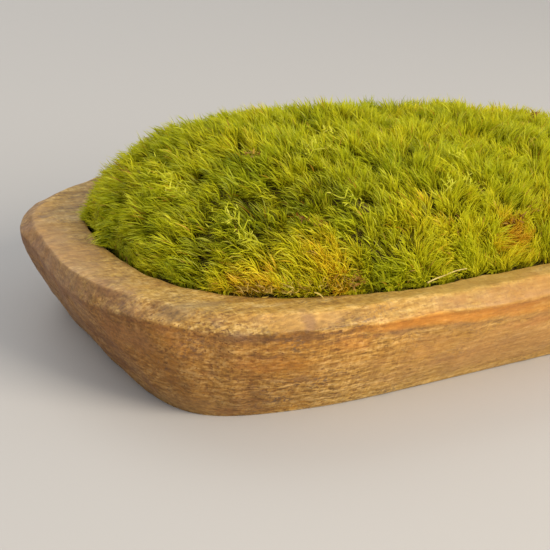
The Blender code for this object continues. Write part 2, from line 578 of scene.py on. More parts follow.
    def crisp(self) -> None:
        """Lay fine light and dark fibre ends over it all, so that stains keep their grain."""
        ends = self.noise(self.stroke_width, 0.4, 1.0, 0.5, across=0.4, shift=(0.3, 0.2, 0.1))
        lines = self.noise(self.stroke_width, 0.3, 1.0, 0.5)
        both = self.add("Math", (ends, lines), operation="ADD")
        centred = self.add("Math", (both, 1.0), operation="SUBTRACT")
        scaled = self.add("Math", (centred, self.bold), **TIMES)
        factor = self.add("Math", (scaled, self.crispness, 1.0), **TIMES_PLUS)
        self.lay(self.add("CombineXYZ", (factor, factor, factor)), 1.0, blend="MULTIPLY")


@dataclass(frozen=True)
class PaleFloor(Finish):
    """Matt pale paint, plain and even."""

    name: str = "matt_pale_floor_paint"
    colour: str = "#b0aca6"

    def shader(self, add: AddNode) -> Socket:
        """Wire up one even coat."""
        return add("BsdfPrincipled", {
            "Base Color": linear(self.colour), "Roughness": 0.75, "Specular IOR Level": 0.2})


def finish_mesh(shell: bmesh.types.BMesh, name: str, finish: Finish) -> bpy.types.Object:
    """Turn a bmesh into a smooth shaded object with one material.

    Args:
        shell: The bmesh, which is freed.
        name: Name of the object.
        finish: Its finish.

    Returns:
        The object, linked to the scene.
    """
    mesh = bpy.data.meshes.new(name)
    shell.to_mesh(mesh)
    shell.free()
    mesh.materials.append(finish.build())
    mesh.shade_smooth()
    made = bpy.data.objects.new(name, mesh)
    bpy.context.scene.collection.objects.link(made)
    return made


def settle(piece: bpy.types.Object, node: str) -> bpy.types.Object:
    """Put a piece on the body, in place of a node of the frame.

    Args:
        piece: The piece.
        node: Node that it replaces.

    Returns:
        The piece.
    """
    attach(piece, BODY)
    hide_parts(node)
    return piece


def skin(name: str, points: Array, finish: Finish, levels: Array = None) -> bpy.types.Object:
    """Wrap a flat grid round into a closed piece.

    Args:
        name: Name of the piece.
        points: Columns round the piece by rows along it by 3, the last column like the first.
        finish: Finish of the piece.
        levels: Value of each row for the finish to go by, or None.

    Returns:
        The piece.
    """
    points[-1] = points[0]
    columns, rows = points.shape[0] - 1, points.shape[1] - 1
    shell = bmesh.new()
    bmesh.ops.create_grid(shell, x_segments=columns, y_segments=rows, size=0.5)
    layer = None if levels is None else shell.verts.layers.float.new(PROFILE)
    for vert in shell.verts:
        column = round((vert.co.x + 0.5) * columns)
        row = round((vert.co.y + 0.5) * rows)
        vert.co = points[column, row]
        if levels is not None:
            vert[layer] = levels[row]
    bmesh.ops.remove_doubles(shell, verts=shell.verts[:], dist=1e-6)
    open_ends = [edge for edge in shell.edges if edge.is_boundary]
    bmesh.ops.holes_fill(shell, edges=open_ends, sides=0)
    bmesh.ops.recalc_face_normals(shell, faces=shell.faces[:])
    return finish_mesh(shell, name, finish)


@dataclass
class DoughBowl:
    """Carved bowl: a flat rim, a chamfer, a ridge, a sloping wall, a flat foot and a hollow."""

    rim: Outline = Outline(0.2305, 0.1303, 2.95)
    ridge: Outline = Outline(0.2361, 0.138, 2.95)
    foot: Outline = Outline(0.2014, 0.1152, 4.6)
    mouth: Outline = Outline(0.2001, 0.1159, 2.81)
    floor: Outline = Outline(0.148, 0.072, 2.4)
    height: float = 0.065
    ridge_drop: float = 0.0079
    mouth_drop: float = 0.0006
    end_rise: float = 0.0027
    floor_height: float = 0.017
    outer_bow: float = 0.003
    inner_bow: float = 0.011
    columns: int = 560
    # Distance along the profile, in millimetres, to the foot's edge, the ridge, the rim's edge,
    # the mouth and the floor of the hollow.
    profile_marks: tuple = (0.0, 6.0, 70.0, 80.0, 102.0, 162.0)
    crisp_rounding: float = 0.45
    soft_rounding: float = 2.6
    easing: tuple = ((-1.0, 0.12), (-0.5, 0.23), (0.0, 0.3), (0.5, 0.23), (1.0, 0.12))
    facet_width: float = 0.048
    facet_depth: float = 0.001
    facet_wander: tuple = (0.25, 21, 0.09)
    # Height, seed and wavelength of the ripples: how the carver's edges wander outward and
    # upward, the marks of the tools, and where hands have worn the wood.
    foot_out: tuple = ((0.0007, 11, 0.16),)
    ridge_out: tuple = ((0.0011, 12, 0.09), (0.0003, 13, 0.025))
    rim_out: tuple = ((0.001, 14, 0.08), (0.0003, 15, 0.022))
    mouth_out: tuple = ((0.0007, 16, 0.1),)
    ridge_up: tuple = ((0.0012, 17, 0.1), (0.0004, 18, 0.03))
    rim_up: tuple = ((0.0004, 19, 0.12),)
    tool_marks: tuple = ((0.00022, 22, 0.02), (0.0001, 23, 0.009))
    worn_places: tuple = (1.0, 24, 0.07)
    # Dents: where they are, how wide and how deep.
    dents: tuple = (
        ((-0.2152, 0.0604, 0.066), 0.003, 0.0009),
        ((-0.0975, -0.137, 0.058), 0.0022, 0.0012),
        ((-0.165, -0.121, 0.058), 0.006, 0.0013),
        ((-0.229, 0.02, 0.06), 0.007, 0.001),
    )

    def rim_top(self, x: Array) -> Array:
        """Height of the rim at x."""
        return self.height + self.end_rise * (x / self.rim.half_length) ** 2

    def station(self, mark: float, angles: Array) -> Array:
        """One ring of the bowl before the carving marks.

        Args:
            mark: Place along the profile: 0 foot underside, 1 foot edge, 2 ridge, 3 rim edge,
                4 mouth and 5 floor of the hollow.
            angles: Angles round the outline.

        Returns:
            Array of points.
        """
        step = min(int(mark), 4)
        part = mark - step
        if step == 0:
            outline = self.foot.moved(-0.006 * (1.0 - part))
            plan = outline.points(angles)
            level = np.zeros(len(angles))
        elif step == 1:
            bow = self.outer_bow * math.sin(math.pi * part)
            plan = self.foot.mixed(self.ridge, part).moved(bow).points(angles)
            level = (self.rim_top(plan[:, 0]) - self.ridge_drop) * part
        elif step == 2:
            plan = self.ridge.mixed(self.rim, part).points(angles)
            level = self.rim_top(plan[:, 0]) - self.ridge_drop * (1.0 - part)
        elif step == 3:
            plan = self.rim.mixed(self.mouth, part).points(angles)
            level = self.rim_top(plan[:, 0]) - self.mouth_drop * part
        else:
            bow = self.inner_bow * math.sin(math.pi * part)
            plan = self.mouth.mixed(self.floor, part ** 1.35).moved(bow).points(angles)
            top = self.rim_top(plan[:, 0]) - self.mouth_drop
            level = top + (self.floor_height - top) * part
        return np.column_stack([plan, level])

    def carved_ring(self, distance: float, angles: Array, wobble: Array,
                    rounding: float) -> Array:
        """One ring with the uneven edges that a carver leaves, and its corners eased.

        Args:
            distance: Distance along the profile in millimetres.
            angles: Angles round the outline.
            wobble: Outward and upward shift of each marked edge.
            rounding: How far the corners are eased in millimetres.

        Returns:
            Array of points.
        """
        ring = np.zeros((len(angles), 3))
        outward = unit(self.rim.points(angles) * (0.55, 1.0))
        for shift, weight in self.easing:
            at = np.clip(distance + shift * rounding, 0.0, self.profile_marks[-1])
            mark = float(np.interp(at, self.profile_marks, range(len(self.profile_marks))))
            points = self.station(mark, angles)
            low = min(int(mark), 4)
            out, rise = wobble[low] * (1.0 - mark + low) + wobble[low + 1] * (mark - low)
            points[:, :2] += outward * out[:, None]
            points[:, 2] += rise
            ring += weight * points
        return ring

    def wobbles(self, angles: Array) -> Array:
        """Uneven shifts of the six marked edges round the bowl.

        Args:
            angles: Angles round the outline.

        Returns:
            Edges by outward and upward by angles.
        """
        plan = self.rim.points(angles)
        still = np.zeros(len(angles))
        foot, ridge, rim, mouth, ridge_up, rim_up = (ripples(plan, *waves) for waves in (
            self.foot_out, self.ridge_out, self.rim_out, self.mouth_out, self.ridge_up,
            self.rim_up))
        return np.array([(foot, still), (foot, still), (ridge, ridge_up), (rim, rim_up),
                         (mouth, 0.7 * rim_up), (still, still)])

    def rows(self) -> Array:
        """Distances along the profile of all rings, close together at the edges."""
        near = np.array((-3.2, -2.2, -1.4, -0.8, -0.4, 0.0, 0.4, 0.8, 1.4, 2.2, 3.2))
        edges = np.concatenate([mark + near for mark in self.profile_marks[1:5]])
        wall = np.linspace(11.0, 66.0, 20)
        rim = np.linspace(84.0, 98.5, 6)
        inner = np.linspace(107.0, 162.0, 9)
        every = np.concatenate([[0.0], edges, wall, [74.0, 76.0], rim, inner])
        return np.unique(every.round(3))

    def surface(self) -> Array:
        """Carve the bowl: worn edges, flat facets, tool marks and dents.

        Returns:
            Columns round the bowl by rows along its profile by 3.
        """
        angles = self.rim.even_angles(self.columns)
        wobble = self.wobbles(angles)
        rows = self.rows()
        crisp, soft = (
            np.stack([self.carved_ring(row, angles, wobble, rounding) for row in rows], axis=1)
            for rounding in (self.crisp_rounding, self.soft_rounding))
        plan = self.rim.points(angles)
        # Hands have worn the front and the left end most.
        worn = smooth_step(plan[:, 0], -0.15, -0.06) * smooth_step(-plan[:, 1], 0.0, 0.08)
        worn = worn * 0.9 + 0.5 * smooth_step(-plan[:, 0], 0.195, 0.225)
        worn = np.clip(worn + 0.3 * smooth_step(ripples(plan, self.worn_places), -0.2, 1.2), 0.0, 1.0)
        points = crisp + (soft - crisp) * worn[:, None, None]
        around = np.gradient(points, axis=0)
        around[0] = around[-1] = points[1] - points[-2]
        along = np.gradient(points, axis=1)
        normals = unit(np.cross(around, along))
        run = np.linalg.norm(np.diff(points[:, 30, :2], axis=0), axis=1)
        run = np.concatenate([[0.0], np.cumsum(run)])
        run = run / run[-1] * round(run[-1] / self.facet_width)
        wander = ripples(points, self.facet_wander)
        crease = (2.0 * ((run[:, None] + wander) % 1.0) - 1.0) ** 2
        on_wall = smooth_step(rows, 8.0, 24.0) * (1.0 - smooth_step(rows, 60.0, 72.0))
        relief = self.facet_depth * (crease - 0.33) * on_wall[None, :]
        visible = smooth_step(rows, 6.0, 9.0)[None, :]
        relief += ripples(points, *self.tool_marks) * visible
        for where, width, depth in self.dents:
            gap = np.linalg.norm(points - np.array(where), axis=-1)
            relief -= depth * np.exp(-(gap / width) ** 2)
        return points + normals * relief[..., None]

    def build(self, finish: CarvedHardwood) -> bpy.types.Object:
        """Model the bowl and dress it.

        Args:
            finish: Finish of the wood.

        Returns:
            The bowl.
        """
        distances = self.rows() / self.profile_marks[-1]
        bowl = skin("carved_bowl", self.surface(), finish, distances)
        return settle(bowl, BOWL_NODE)


@dataclass
class MossCushion:
    """The matted body of the moss, which the leafy shoots stand on."""

    bowl: DoughBowl
    rise: float = 0.0466
    shoulder: float = 3.7
    fullness: float = 0.87
    slope_along: float = -0.24
    slope_across: float = 0.12
    end_lift: float = 0.4
    inset: float = 0.0048
    sunk: float = 0.006
    lumps: tuple = ((0.0024, 31, 0.055), (0.0011, 32, 0.018))
    columns: int = 220
    rows: int = 56
    # Hollows and swellings of the dome: where, how wide, how high.
    swells: tuple = (
        (-0.148, -0.06, 0.018, -0.003),
        (-0.1, -0.078, 0.014, -0.0028),
        (-0.099, -0.106, 0.008, -0.0062),
        (-0.03, 0.062, 0.012, -0.0022),
        (-0.132, -0.092, 0.018, 0.0016),
        (-0.165, 0.01, 0.024, 0.002),
        (0.01, -0.07, 0.03, 0.0018),
        (0.085, 0.02, 0.045, -0.0028),
        (-0.06, 0.01, 0.018, -0.0014),
        (-0.008, 0.062, 0.03, -0.0034),
        (0.022, 0.066, 0.012, -0.0024),
        (0.132, 0.038, 0.022, -0.0036),
        (-0.18, 0.06, 0.014, -0.006),
        (-0.146, 0.06, 0.014, -0.0036),
        (-0.075, 0.06, 0.014, -0.003),
        (0.08, 0.06, 0.022, -0.003),
    )

    def outline(self) -> Outline:
        """Outline of the cushion where it meets the hollow."""
        return self.bowl.mouth.moved(-self.inset)

    def top(self, share: Array, angles: Array) -> Array:
        """Points on the dome.

        Args:
            share: How far out each point lies, from 0 to 1.
            angles: Angle of each point.

        Returns:
            Array of points.
        """
        plan = self.outline().points(angles) * share[..., None]
        x, y = plan[..., 0], plan[..., 1]
        along = x / self.bowl.mouth.half_length
        across = y / self.bowl.mouth.half_width
        tilt = 1.0 + self.slope_along * along + self.slope_across * across
        tilt = tilt + self.end_lift * along ** 2
        crown = np.clip(1.0 - share ** self.shoulder, 0.0, None) ** self.fullness
        level = self.bowl.rim_top(x) - self.bowl.mouth_drop - self.sunk + self.rise * crown * tilt
        inner = 1.0 - np.clip(share, 0.0, 1.0) ** 8
        level = level + inner * ripples(plan, *self.lumps)
        for *centre, width, height in self.swells:
            level = level + height * spot(plan, *centre, width)
        return np.stack([x, y, level], -1)

    def normals(self, share: Array, angles: Array) -> Array:
        """Measure which way the dome faces.

        Args:
            share: How far out each point lies, from 0 to 1.
            angles: Angle of each point.

        Returns:
            Outward direction at each point.
        """
        step = 0.004
        inner = self.top(np.clip(share - step, 0.0, 1.0), angles)
        outer = self.top(np.clip(share + step, 0.0, 1.0), angles)
        left = self.top(share, angles - step)
        right = self.top(share, angles + step)
        return unit(np.cross(outer - inner, right - left))

    def scatter(self, rng: np.random.Generator, count: int) -> tuple:
        """Places spread evenly over the dome.

        Args:
            rng: Random generator.
            count: Number of places.

        Returns:
            Points and outward directions.
        """
        draws = count * 6
        share = np.sqrt(rng.uniform(0.0, 1.0, draws))
        angles = np.interp(rng.uniform(0.0, 1.0, draws), np.linspace(0.0, 1.0, 2001),
                           self.outline().even_angles(2000))
        normals = self.normals(share, angles)
        slope = np.maximum(normals[:, 2], 0.3)
        chance = self.ground(angles) / slope * (1.0 + 0.5 * smooth_step(share, 0.9, 1.0))
        keep = rng.uniform(0.0, chance.max(), draws) < chance
        points = self.top(share[keep][:count], angles[keep][:count])
        return points, normals[keep][:count]

    def ground(self, angles: Array) -> Array:
        """Weigh the draws, because the outline is nearer the middle at its sides.

        Args:
            angles: Angle of each draw.

        Returns:
            Ground that each draw stands for, relative to the others.
        """
        step = 0.002
        outline = self.outline()
        here = outline.points(angles)
        turned = outline.points(angles + step) - outline.points(angles - step)
        wedge = np.abs(here[:, 0] * turned[:, 1] - here[:, 1] * turned[:, 0])
        return wedge / np.maximum(np.linalg.norm(turned, axis=1), 1e-9)

    def build(self, finish: DeadFibres) -> bpy.types.Object:
        """Model the cushion as one closed body, from its underside up to its crown.

        Args:
            finish: Finish of the dead stems.

        Returns:
            The cushion.
        """
        angles = self.outline().even_angles(self.columns)
        rings = []
        bed = self.bowl.floor_height + 0.0006
        for part in (0.0, 0.5, 1.0):
            plan = self.bowl.floor.moved(-0.004).points(angles) * part
            rings.append(np.column_stack([plan, np.full(len(angles), bed)]))
        edge = self.top(np.ones(len(angles)), angles)
        for part in (0.25, 0.5, 0.75):
            pulled = self.bowl.station(5.0 - part, angles)[:, :2] * 0.965
            rings.append(np.column_stack([pulled, bed + (edge[:, 2] - bed) * part]))
        for share in np.linspace(1.0, 0.0, self.rows) ** 0.8:
            rings.append(self.top(np.full(len(angles), share), angles))
        cushion = skin("moss_cushion", np.stack(rings, axis=1), finish)
        return settle(cushion, MOSS_NODE)


@dataclass(frozen=True)
class Patch:
    """A part of the moss whose leaves differ in hue, brightness and length."""

    x: float
    y: float
    radius: float
    hue: float
    light: float = 0.0
    length: float = 0.0
    stretch: float = 1.0

    def weight(self, places: Array) -> Array:
        """How strongly the patch acts at each place."""
        return spot(places, self.x, self.y, self.radius, self.stretch)


@dataclass(frozen=True)
class LeafRibbons:
    """Narrow curved leaves, each a strip of a few steps that ends in a point."""

    widths: tuple = (0.7, 1.00, 0.82, 0.5)
    # How far each leaf climbs the light ramp from root to tip: painted light that pales the tip and
    # painted shade at the root.
    climb: float = 0.6
    map_half_width: float = 0.0016

    def bend(self, roots: Array, headings: Array, across: Array, curl: Array,
             reach: Array, width: Array) -> Array:
        """Edge points and tips of leaves.

        Args:
            roots: Foot of each leaf.
            headings: Direction in which each leaf starts.
            across: Direction of each leaf's width.
            curl: Vector that each leaf has turned by at its tip.
            reach: Length of each leaf.
            width: Greatest width of each leaf.

        Returns:
            Array of leaves by points by 3, with the tip last.
        """
        steps = len(self.widths)
        spine = roots
        edges = []
        for step, share in enumerate(self.widths):
            heading = unit(headings + curl * ((step + 0.5) / steps))
            edge = unit(across - heading * (across * heading).sum(-1, keepdims=True))
            half = 0.5 * share * width[:, None] * edge
            edges += [spine - half, spine + half]
            spine = spine + heading * (reach / steps)[:, None]
        return np.stack(edges + [spine], axis=1)

    def join(self, name: str, points: Array, hue: Array, light: Array,
             material: bpy.types.Material) -> bpy.types.Object:
        """Join leaves into one mesh with their map.

        Args:
            name: Name of the piece.
            points: Leaves by points by 3, with the tip last.
            hue: Hue of each leaf on the palette, from 0 to 1.
            light: Brightness of each leaf's root, from 0 to 1.
            material: Leaf material.

        Returns:
            The piece.
        """
        count, size = points.shape[:2]
        steps = len(self.widths)
        corners = []
        for step in range(steps - 1):
            low, high = 2 * step, 2 * step + 2
            corners += [low, low + 1, high + 1, high]
        corners = np.array(corners + [2 * steps - 2, 2 * steps - 1, 2 * steps])
        totals = np.tile(np.array([4] * (steps - 1) + [3]), count)
        loops = (corners[None, :] + (np.arange(count) * size)[:, None]).ravel()
        starts = np.concatenate([[0], np.cumsum(totals)[:-1]])
        mesh = bpy.data.meshes.new(name)
        mesh.vertices.add(count * size)
        mesh.vertices.foreach_set("co", points.reshape(-1).astype(np.float32))
        mesh.loops.add(len(loops))
        mesh.loops.foreach_set("vertex_index", loops.astype(np.int32))
        mesh.polygons.add(len(totals))
        mesh.polygons.foreach_set("loop_start", starts.astype(np.int32))
        mesh.update(calc_edges=True)
        along = np.arange(size) // 2 / steps
        side = np.where(np.arange(size) % 2 == 0, -1.0, 1.0)
        side[-1] = 0.0
        across_map = np.clip(hue, 0.01, 0.99)[:, None] + self.map_half_width * side[corners]
        along_map = np.clip(light[:, None] + self.climb * along[corners], 0.005, 0.995)
        layer = mesh.uv_layers.new(name=LEAF_MAP)
        pairs = np.stack([across_map, along_map], -1)
        layer.uv.foreach_set("vector", pairs.reshape(-1).astype(np.float32))
        mesh.materials.append(material)
        mesh.shade_smooth()
        piece = bpy.data.objects.new(name, mesh)
        bpy.context.scene.collection.objects.link(piece)
        return settle(piece, MOSS_NODE)


@dataclass
class MossShoots:
    """Leafy shoots all over the cushion: each is a tuft of narrow curved leaves that leans with
    the lie of the moss."""

    cushion: MossCushion
    ribbons: LeafRibbons = LeafRibbons()
    shoots: int = 5600
    leaves: int = 24
    parts: int = 5
    seed: int = 71
    stem: float = 0.007
    leaf_length: float = 0.0098
    leaf_width: float = 0.00072
    # Past this share of the mouth a leaf is pulled back to a part of its reach over the rim.
    pull_from: float = 0.985
    overhang: float = 0.42
    overhang_waves: tuple = (0.22, 46, 0.03)
    lift_when_pulled: float = 0.35
    rim_clearance: float = 0.0008
    # Level direction that the moss leans in on the left of the dome, and the one square to it.
    lean_direction: tuple = (-0.854, 0.519, 0.0)
    depth_direction: tuple = (0.519, 0.854, 0.0)
    # Lean from upright in degrees at places along the bowl.
    lean_places: tuple = (-0.2, -0.15, -0.1, -0.03, 0.05, 0.2)
    lean_degrees: tuple = (62.0, 52.0, 40.0, 20.0, 6.0, -14.0)
    low_lean: float = 8.0
    # Height, seed and wavelength of the ripples in lean, depth, hue, light, length and bend.
    lean_waves: tuple = ((12.0, 41, 0.06), (17.0, 42, 0.02), (9.0, 47, 0.009))
    depth_waves: tuple = ((0.22, 43, 0.06), (0.28, 44, 0.02))
    hue_waves: tuple = ((0.055, 51, 0.045), (0.045, 52, 0.014))
    light_waves: tuple = ((0.04, 53, 0.03), (0.035, 54, 0.01))
    length_waves: tuple = (0.08, 55, 0.025)
    bend_waves: tuple = (1.0, 45, 0.03)
    depth: float = 0.05
    brightness: float = 0.35
    # How far a tuft follows the dome's slope, and how much more of that it does at the edge.
    outward: float = 0.42
    edge_flare: float = 0.45
    left_bend: float = 2.2
    right_hue: float = 0.03
    right_light: float = 0.04
    far_right_shade: float = 0.1
    # Spreads and ranges of what differs from tuft to tuft.
    axis_spread: float = 0.21
    tuft_hue_spread: float = 0.035
    tuft_light_spread: float = 0.04
    tuft_lengths: tuple = (0.85, 1.15)
    # Spreads and ranges of what differs from leaf to leaf.
    open_at_tip: float = 12.0
    open_below: float = 28.0
    open_spread: float = 7.0
    root_offsets: tuple = (0.0002, 0.0016)
    curl_spread: float = 0.3
    sag: tuple = (0.0, 0.0, -0.1)
    # Direction that a tuft's two sides are worked out from.
    askew: tuple = (0.31, 0.17, 0.93)
    curl_strengths: tuple = (0.25, 1.35)
    leaf_lengths: tuple = (0.72, 1.28)
    leaf_widths: tuple = (0.75, 1.2)
    leaf_hue_spread: float = 0.06
    leaf_light_spread: float = 0.095
    # Painted shade: leaves low on a stem are darker, under the leaves above them.
    low_leaf_shade: float = 0.1
    dead_share: float = 0.018
    bright_share: float = 0.08
    bright_gain: float = 0.24
    # Tufts that turn their own way: where, how wide, and their lean in degrees.
    turned_tufts: tuple = (
        (-0.072, -0.106, 0.014, 62.0),
        (-0.03, -0.092, 0.018, 34.0),
        (0.000, -0.08, 0.016, 6.0),
        (0.016, -0.104, 0.016, -38.0),
        (0.05, -0.094, 0.018, -20.0),
        (-0.112, -0.098, 0.012, 14.0),
        (-0.134, -0.094, 0.012, 34.0),
        (-0.152, -0.088, 0.01, 52.0),
    )
    patches: tuple = (
        Patch(-0.136, -0.092, 0.018, 0.33, 0.19, 0.1, 1.6),
        Patch(-0.108, -0.098, 0.014, 0.26, 0.18, 0.14, 1.2),
        Patch(-0.16, -0.083, 0.011, 0.2, 0.08, 0.00, 1.5),
        Patch(-0.034, -0.105, 0.016, 0.11, 0.15, 0.1, 2.0),
        Patch(-0.014, -0.094, 0.024, 0.07, 0.17, 0.00, 2.0),
        Patch(-0.02, -0.04, 0.03, 0.00, 0.04, 0.00, 2.0),
        Patch(-0.19, -0.03, 0.04, 0.05, 0.06, 0.00, 1.0),
        Patch(-0.182, -0.07, 0.014, 0.1, 0.04, 0.00, 1.0),
        Patch(0.015, -0.098, 0.009, 0.26, -0.08, 0.00, 1.3),
        Patch(0.055, -0.088, 0.02, 0.08, -0.02, 0.00, 1.5),
        # Painted shade: this patch lies over the deepest hollow of the dome, and its negative light
        # darkens the leaves there.
        Patch(-0.099, -0.106, 0.0065, 0.25, -0.24, -0.5, 1.0),
        Patch(0.014, -0.1, 0.0055, 0.22, -0.16, 0.00, 1.3),
        # Painted shade: these two lie over hollows of the dome, and darken and green the leaves
        # there.
        Patch(-0.15, -0.062, 0.02, -0.12, -0.12, 0.00, 1.5),
        Patch(-0.108, -0.074, 0.016, -0.12, -0.12, 0.00, 1.6),
        Patch(-0.07, -0.105, 0.012, -0.08, 0.13, 0.1, 1.4),
        Patch(-0.118, -0.077, 0.004, 0.42, -0.05, 0.00, 1.0),
        # Painted shade over a hollow of the dome, darker and greener.
        Patch(-0.1, -0.07, 0.02, -0.08, -0.06, 0.00, 1.0),
        Patch(-0.162, 0.09, 0.014, 0.24, 0.06, 0.15, 1.2),
        Patch(-0.165, 0.05, 0.03, 0.06, 0.00, 0.00, 1.2),
        Patch(0.12, 0.06, 0.03, 0.14, 0.02, 0.00, 1.5),
        Patch(0.06, 0.09, 0.022, -0.12, -0.06, 0.00, 1.6),
        Patch(0.15, -0.05, 0.02, -0.1, -0.05, 0.00, 1.2),
    )

    def lie(self, places: Array) -> tuple:
        """Lie of the moss at each place.

        Args:
            places: Foot of each tuft.

        Returns:
            Lean from upright in radians, and how far the tuft tips away from the front.
        """
        plan = places[:, :2]
        lean = np.interp(places[:, 0], self.lean_places, self.lean_degrees)
        low = self.cushion.outline().share(places[:, 0], places[:, 1])
        left = 1.0 - smooth_step(places[:, 0], -0.1, 0.04)
        lean = lean + self.low_lean * left * smooth_step(low, 0.7, 0.98)
        lean = lean + ripples(plan, *self.lean_waves)
        for *centre, radius, degrees in self.turned_tufts:
            lean = lean + (degrees - lean) * spot(plan, *centre, radius)
        return np.radians(lean), self.depth + ripples(plan, *self.depth_waves)

    def tuft_tones(self, places: Array, rng: np.random.Generator) -> tuple:
        """Hue, brightness and length of each tuft.

        Args:
            places: Foot of each tuft.
            rng: Random generator.

        Returns:
            Three arrays.
        """
        plan, x = places[:, :2], places[:, 0]
        hue = LeafHue.YELLOW_GREEN.value + ripples(plan, *self.hue_waves)
        hue = hue + self.right_hue * smooth_step(x, -0.1, 0.03)
        light = self.brightness + ripples(plan, *self.light_waves)
        light = light + self.right_light * smooth_step(x, -0.12, 0.02)
        far_right = smooth_step(places[:, 1] + 0.5 * x, 0.03, 0.08) * smooth_step(x, 0.0, 0.08)
        light = light - self.far_right_shade * far_right
        length = 1.0 + ripples(plan, self.length_waves)
        for patch in self.patches:
            weight = patch.weight(places)
            hue = hue + patch.hue * weight
            light = light + patch.light * weight
            length = length + patch.length * weight
        hue = hue + rng.normal(0.0, self.tuft_hue_spread, len(places))
        light = light + rng.normal(0.0, self.tuft_light_spread, len(places))
        return hue, light, length * rng.uniform(*self.tuft_lengths, len(places))

    def grow(self, feet: Array, normals: Array, rng: np.random.Generator) -> tuple:
        """Shape every leaf of these tufts.

        Args:
            feet: Foot of each tuft on the cushion.
            normals: Outward direction of the cushion there.
            rng: Random generator.

        Returns:
            Points of the leaves, their hue and their brightness.
        """
        tufts = len(feet)
        lean, deep = self.lie(feet)
        up = np.array((0.0, 0.0, 1.0))
        side = np.array(self.lean_direction)
        away = np.array(self.depth_direction)
        level_part = np.sin(lean)[:, None]
        upright_part = np.cos(lean)[:, None]
        edge = smooth_step(self.cushion.outline().share(feet[:, 0], feet[:, 1]), 0.86, 1.0)
        outward = self.outward + self.edge_flare * edge * smooth_step(feet[:, 0], -0.16, -0.06)
        axis = (outward[:, None] * normals + upright_part * up + level_part * side
                + deep[:, None] * away)
        axis = unit(axis + rng.normal(0.0, self.axis_spread, (tufts, 3)))
        left = 1.0 - smooth_step(feet[:, 0], -0.12, 0.04)
        one_sided = ripples(feet[:, :2], self.bend_waves) + self.left_bend * left
        curl = (upright_part * side - level_part * up) * np.tanh(2.5 * one_sided)[:, None]
        hue, light, length = self.tuft_tones(feet, rng)

        def spread(values: Array) -> Array:
            """Repeat one value or row of each tuft for all of its leaves."""
            return np.repeat(values, self.leaves, axis=0)

        count = tufts * self.leaves
        axis_all, curl_all, feet_all = spread(axis), spread(curl), spread(feet)
        turn = rng.uniform(0.0, FULL_TURN, count)
        side_a = unit(np.cross(axis_all, self.askew))
        side_b = np.cross(axis_all, side_a)
        radial = np.cos(turn)[:, None] * side_a + np.sin(turn)[:, None] * side_b
        across = -np.sin(turn)[:, None] * side_a + np.cos(turn)[:, None] * side_b
        level = rng.uniform(0.0, 1.0, count)
        open_angle = np.radians(self.open_at_tip + self.open_below * (1.0 - level)
                                + rng.normal(0.0, self.open_spread, count))
        start = axis_all * np.cos(open_angle)[:, None] + radial * np.sin(open_angle)[:, None]
        root = (feet_all + axis_all * (level * self.stem)[:, None]
                + radial * rng.uniform(*self.root_offsets, count)[:, None])
        bend = curl_all + self.curl_spread * rng.normal(0.0, 1.0, (count, 3)) + self.sag
        bend = unit(bend) * rng.uniform(*self.curl_strengths, count)[:, None]
        reach = self.leaf_length * spread(length) * rng.uniform(*self.leaf_lengths, count)
        width = self.leaf_width * rng.uniform(*self.leaf_widths, count)
        points = self.ribbons.bend(root, start, across, bend, reach, width)
        stray = rng.uniform(0.0, 1.0, count)
        leaf_hue = spread(hue) + rng.normal(0.0, self.leaf_hue_spread, count)
        leaf_hue = np.clip(leaf_hue, LeafHue.DEEP_GREEN.value, LeafHue.AMBER.value)
        dead_hue = rng.uniform(LeafHue.AMBER.value, LeafHue.DEAD_BROWN.value, count)
        leaf_hue = np.where(stray < self.dead_share, dead_hue, leaf_hue)
        leaf_light = spread(light) + rng.normal(0.0, self.leaf_light_spread, count)
        # Painted shade: the lower a leaf sits on its stem, the darker it is.
        leaf_light = leaf_light - self.low_leaf_shade * (1.0 - level)
        leaf_light += np.where(stray > 1.0 - self.bright_share, self.bright_gain, 0.0)
        return self.over_rim(points), leaf_hue, leaf_light

    def over_rim(self, points: Array) -> Array:
        """Curl points back that would reach far over the rim, and keep them above it.

        Args:
            points: Leaf points.

        Returns:
            The points after the move.
        """
        bowl = self.cushion.bowl
        share = bowl.mouth.share(points[..., 0], points[..., 1])
        over = np.clip(share - self.pull_from, 0.0, None)
        kept = self.overhang + ripples(points[..., :2], self.overhang_waves)
        pulled = (self.pull_from + kept * over) / (self.pull_from + over)
        moved = points.copy()
        moved[..., :2] *= pulled[..., None]
        shift = np.linalg.norm(moved[..., :2] - points[..., :2], axis=-1)
        moved[..., 2] += self.lift_when_pulled * shift
        lowest = bowl.rim_top(moved[..., 0]) + self.rim_clearance
        raised = np.maximum(moved[..., 2], lowest)
        moved[..., 2] = np.where(share > self.pull_from, raised, moved[..., 2])
        return moved

    def build(self, material: bpy.types.Material) -> list:
        """Grow all tufts, in pieces from the left end to the right.

        Args:
            material: Leaf material.

        Returns:
            The pieces.
        """
        rng = np.random.default_rng(self.seed)
        feet, normals = self.cushion.scatter(rng, self.shoots)
        order = np.argsort(feet[:, 0])
        pieces = []
        for number, members in enumerate(np.array_split(order, self.parts), start=1):
            points, hue, light = self.grow(feet[members], normals[members], rng)
            pieces.append(
                self.ribbons.join(f"moss_leaves_{number}", points, hue, light, material))
        return pieces


